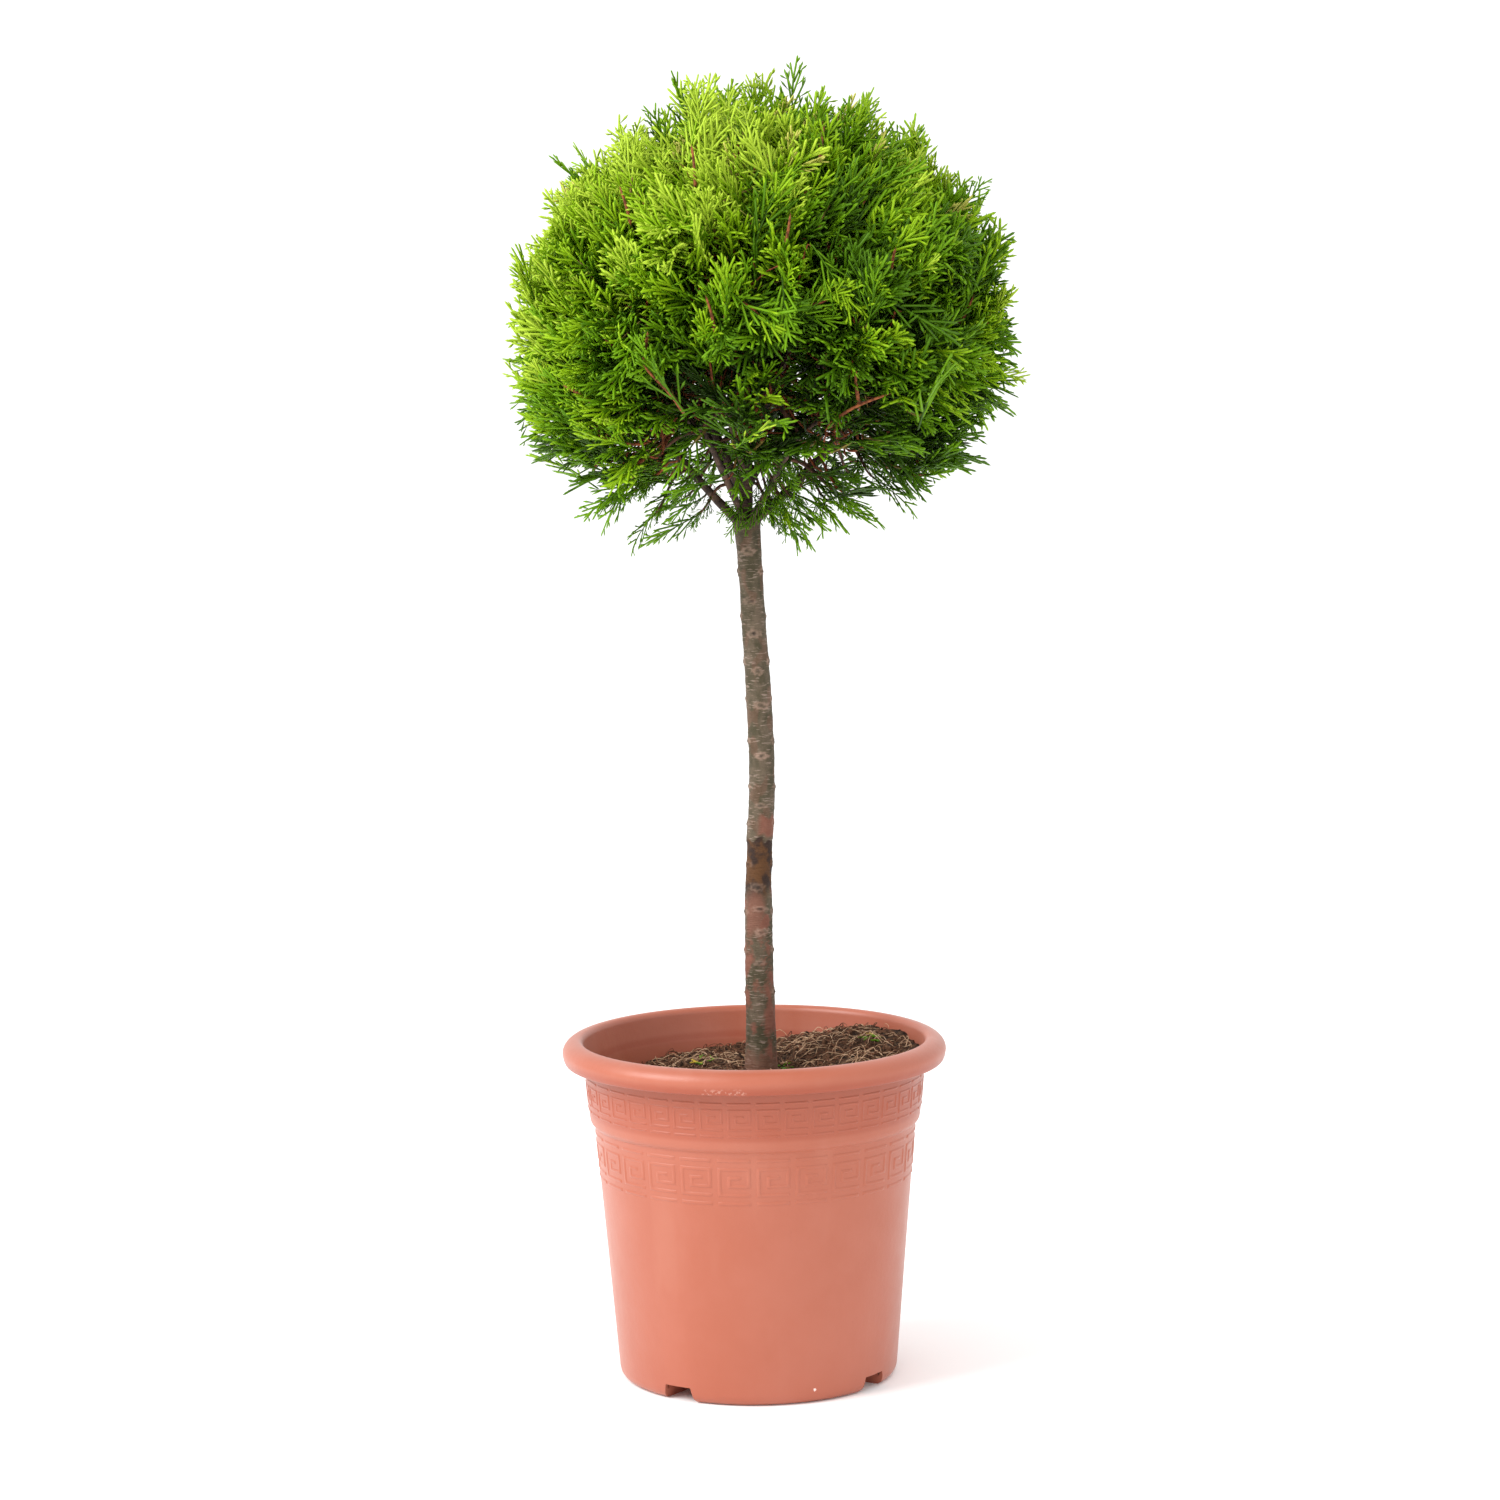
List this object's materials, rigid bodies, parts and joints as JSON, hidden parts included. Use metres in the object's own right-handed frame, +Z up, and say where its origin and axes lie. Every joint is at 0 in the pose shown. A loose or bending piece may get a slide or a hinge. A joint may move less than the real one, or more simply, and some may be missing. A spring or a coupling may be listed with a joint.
{
  "type": "standard lollipop topiary cypress in a pot",
  "caption": "Clipped evergreen ball of fine scale foliage on a clear woody stem, planted in a round moulded plastic pot with fret bands.",
  "frame": {"origin": "middle of the pot's flat underside, on the surface it stands on", "axes": "+Z up along the stem, -Y towards the front, +X to the right"},
  "size_m": [0.3854, 0.3818, 1.0152],
  "materials": {
    "pot_plastic": "matt terracotta-coloured moulded plastic, faintly speckled",
    "compost": "moist fibrous peat compost",
    "bark": "thin smooth bark with small scars",
    "twig_bark": "reddish-brown young bark",
    "foliage": "fine green scale leaves in sprays"
  },
  "bodies": {
    "root": {"pot": "pot_plastic", "compost": "compost", "stem": "bark", "leader": "twig_bark", "bough_lower_back_left": "twig_bark", "bough_lower_back_right": "twig_bark", "bough_lower_front_left": "twig_bark", "bough_lower_front_right": "twig_bark", "bough_lower_left": "twig_bark", "bough_lower_right": "twig_bark", "bough_upper_back": "twig_bark", "bough_upper_front_left": "twig_bark", "bough_upper_front_right": "twig_bark", "bough_upper_left": "twig_bark", "bough_upper_right": "twig_bark", "foliage_lower_back_left": "foliage", "foliage_lower_back_right": "foliage", "foliage_lower_front_left": "foliage", "foliage_lower_front_right": "foliage", "foliage_lower_left": "foliage", "foliage_lower_right": "foliage", "foliage_top": "foliage", "foliage_upper_back": "foliage", "foliage_upper_front_left": "foliage", "foliage_upper_front_right": "foliage", "foliage_upper_left": "foliage", "foliage_upper_right": "foliage"}
  },
  "joints": []
}
